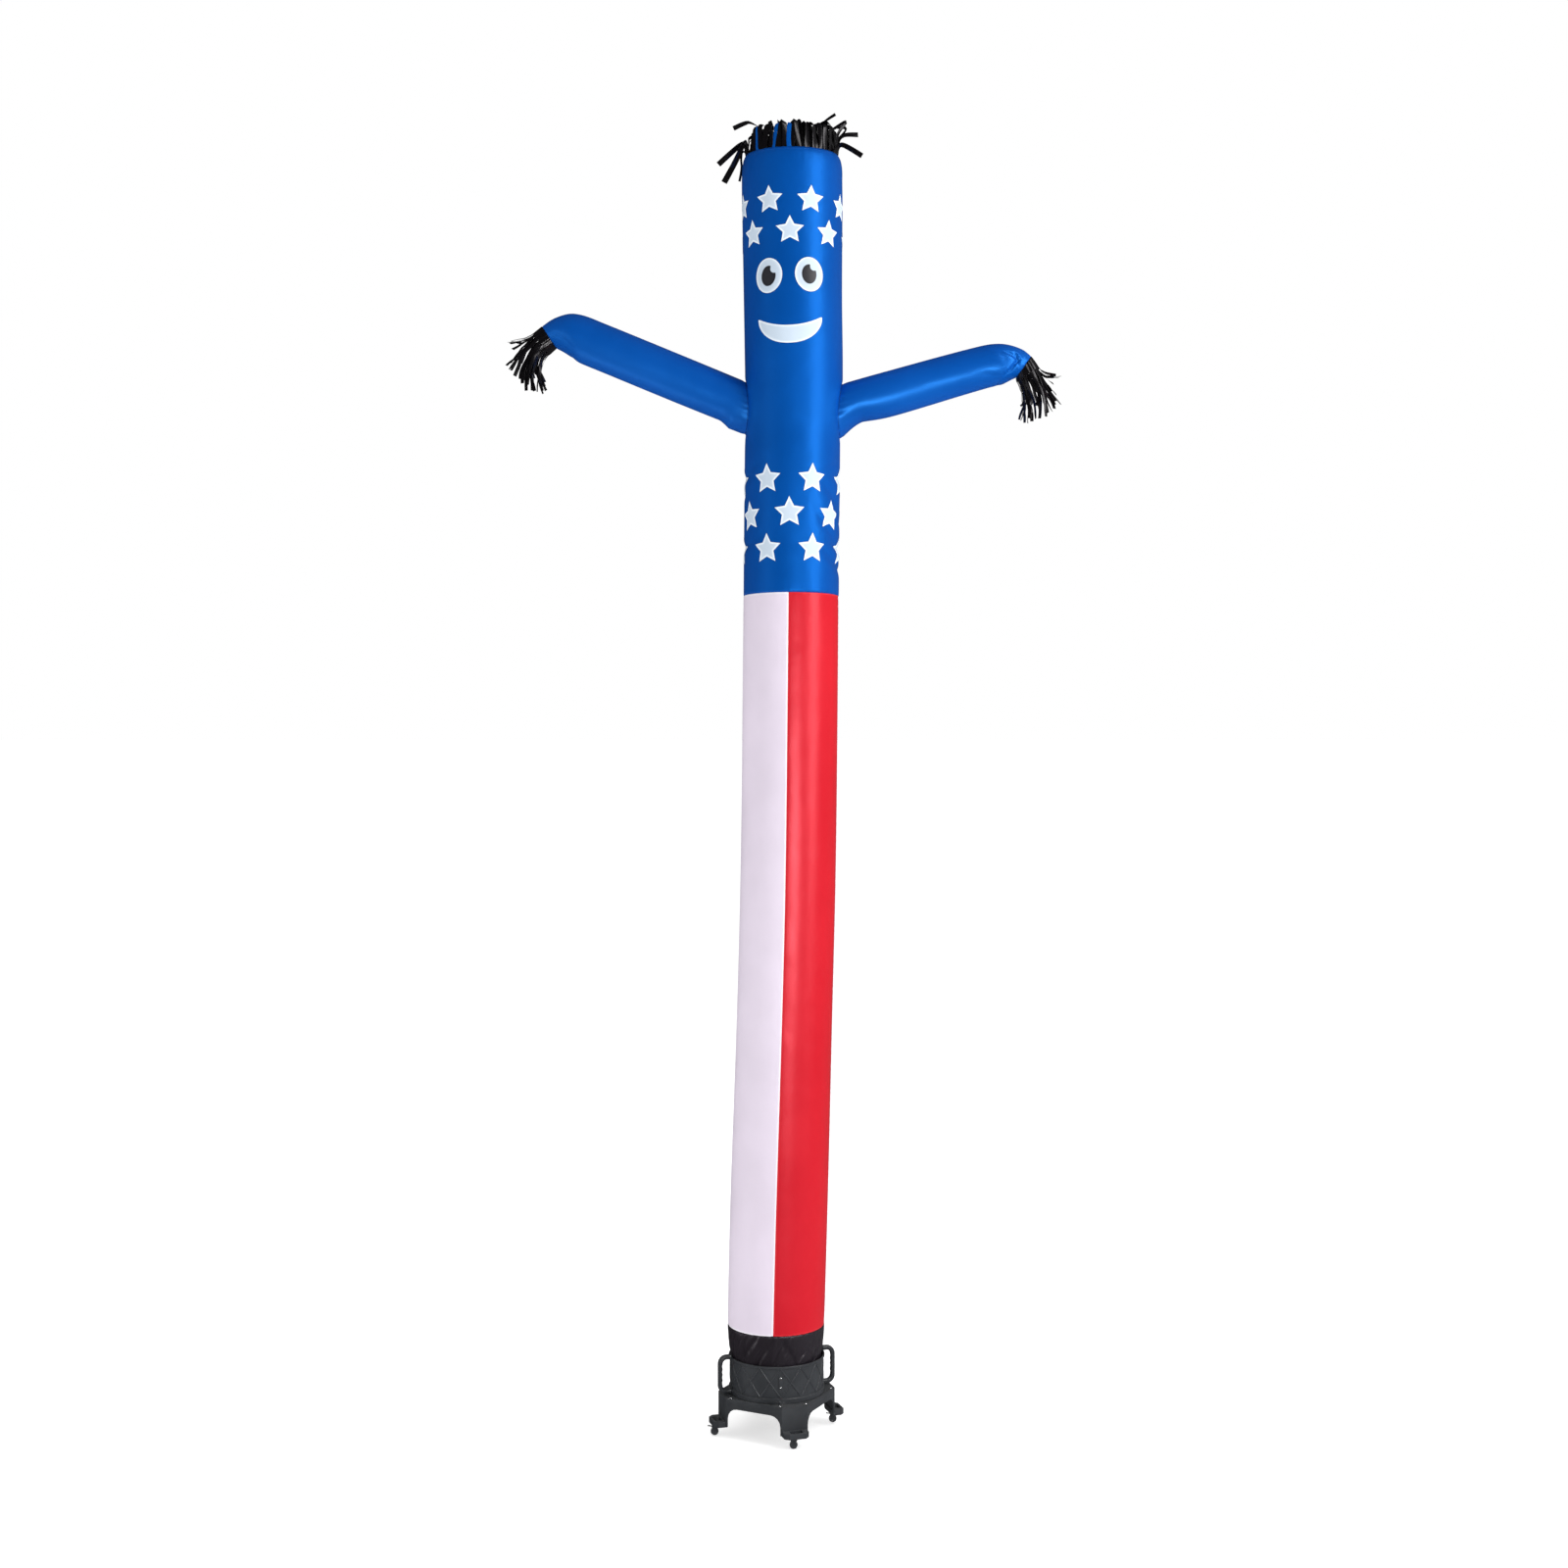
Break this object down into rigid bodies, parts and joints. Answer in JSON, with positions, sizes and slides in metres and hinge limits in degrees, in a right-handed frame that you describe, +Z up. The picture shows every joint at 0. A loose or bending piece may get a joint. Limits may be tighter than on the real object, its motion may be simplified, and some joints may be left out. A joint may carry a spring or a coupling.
{
  "type": "inflatable air dancer with blower",
  "caption": "Tall inflatable tube dancer with two arms and streamer fringes, on its portable air blower with castors.",
  "frame": {"origin": "on the floor, under the middle of the blower", "axes": "+Z up along the tube; the face looks towards -Y; +X is the right-hand side for someone who looks at the face"},
  "size_m": [2.6234, 0.643, 6.2474],
  "materials": {
    "blue_cloth": "coated nylon, satin",
    "white_cloth": "coated nylon, satin",
    "red_cloth": "coated nylon, satin",
    "black_cloth": "coated nylon, glossy",
    "dark_plastic": "moulded, satin",
    "zinc_steel": "zinc plated",
    "grey_tyre": "moulded, smooth"
  },
  "bodies": {
    "dancer_and_blower": {"arm_left": "blue_cloth", "arm_right": "blue_cloth", "base": "dark_plastic", "base_bolt_1a": "zinc_steel", "base_bolt_1b": "zinc_steel", "base_bolt_2a": "zinc_steel", "base_bolt_2b": "zinc_steel", "base_bolt_3a": "zinc_steel", "base_bolt_3b": "zinc_steel", "base_bolt_4a": "zinc_steel", "base_bolt_4b": "zinc_steel", "cuff_left": "black_cloth", "cuff_right": "black_cloth", "drum": "dark_plastic", "foot_sleeve": "black_cloth", "hair_fringe": "black_cloth", "hair_ribbons": "blue_cloth", "handle_left": "dark_plastic", "handle_right": "dark_plastic", "panel_red_1": "red_cloth", "panel_red_2": "red_cloth", "panel_white_1": "white_cloth", "panel_white_2": "white_cloth", "tassel_left": "black_cloth", "tassel_right": "black_cloth", "tie_plate": "dark_plastic", "tie_screw_1": "zinc_steel", "tie_screw_2": "zinc_steel", "upper_body": "blue_cloth"},
    "castor_a_swivel": {"castor_A_fork": "dark_plastic"},
    "castor_a_roll": {"castor_A_wheel": "grey_tyre"},
    "castor_a_lever": {"castor_A_brake": "dark_plastic"},
    "castor_b_swivel": {"castor_B_fork": "dark_plastic"},
    "castor_b_roll": {"castor_B_wheel": "grey_tyre"},
    "castor_b_lever": {"castor_B_brake": "dark_plastic"},
    "castor_c_swivel": {"castor_C_fork": "dark_plastic"},
    "castor_c_roll": {"castor_C_wheel": "grey_tyre"},
    "castor_c_lever": {"castor_C_brake": "dark_plastic"},
    "castor_d_swivel": {"castor_D_fork": "dark_plastic"},
    "castor_d_roll": {"castor_D_wheel": "grey_tyre"},
    "castor_d_lever": {"castor_D_brake": "dark_plastic"}
  },
  "joints": [
    {"name": "castor_a_swivel_joint", "type": "hinge", "parent": "dancer_and_blower", "child": "castor_a_swivel", "pos_m": [-0.28151, -0.09147, 0.05], "axis": [0, 0, 1], "continuous": true},
    {"name": "castor_a_axle", "type": "hinge", "parent": "castor_a_swivel", "child": "castor_a_roll", "pos_m": [-0.29351, -0.09147, 0.019], "axis": [0, 1, 0], "continuous": true},
    {"name": "castor_a_brake_pin", "type": "hinge", "parent": "castor_a_swivel", "child": "castor_a_lever", "pos_m": [-0.30251, -0.09147, 0.0415], "axis": [0, 1, 0], "range_deg": [-20, 0]},
    {"name": "castor_b_swivel_joint", "type": "hinge", "parent": "dancer_and_blower", "child": "castor_b_swivel", "pos_m": [0.09147, -0.28151, 0.05], "axis": [0, 0, 1], "continuous": true},
    {"name": "castor_b_axle", "type": "hinge", "parent": "castor_b_swivel", "child": "castor_b_roll", "pos_m": [0.07947, -0.28151, 0.019], "axis": [0, 1, 0], "continuous": true},
    {"name": "castor_b_brake_pin", "type": "hinge", "parent": "castor_b_swivel", "child": "castor_b_lever", "pos_m": [0.07047, -0.28151, 0.0415], "axis": [0, 1, 0], "range_deg": [-20, 0]},
    {"name": "castor_c_swivel_joint", "type": "hinge", "parent": "dancer_and_blower", "child": "castor_c_swivel", "pos_m": [0.28151, 0.09147, 0.05], "axis": [0, 0, 1], "continuous": true},
    {"name": "castor_c_axle", "type": "hinge", "parent": "castor_c_swivel", "child": "castor_c_roll", "pos_m": [0.26951, 0.09147, 0.019], "axis": [0, 1, 0], "continuous": true},
    {"name": "castor_c_brake_pin", "type": "hinge", "parent": "castor_c_swivel", "child": "castor_c_lever", "pos_m": [0.26051, 0.09147, 0.0415], "axis": [0, 1, 0], "range_deg": [-20, 0]},
    {"name": "castor_d_swivel_joint", "type": "hinge", "parent": "dancer_and_blower", "child": "castor_d_swivel", "pos_m": [-0.09147, 0.28151, 0.05], "axis": [0, 0, 1], "continuous": true},
    {"name": "castor_d_axle", "type": "hinge", "parent": "castor_d_swivel", "child": "castor_d_roll", "pos_m": [-0.10347, 0.28151, 0.019], "axis": [0, 1, 0], "continuous": true},
    {"name": "castor_d_brake_pin", "type": "hinge", "parent": "castor_d_swivel", "child": "castor_d_lever", "pos_m": [-0.11247, 0.28151, 0.0415], "axis": [0, 1, 0], "range_deg": [-20, 0]}
  ]
}
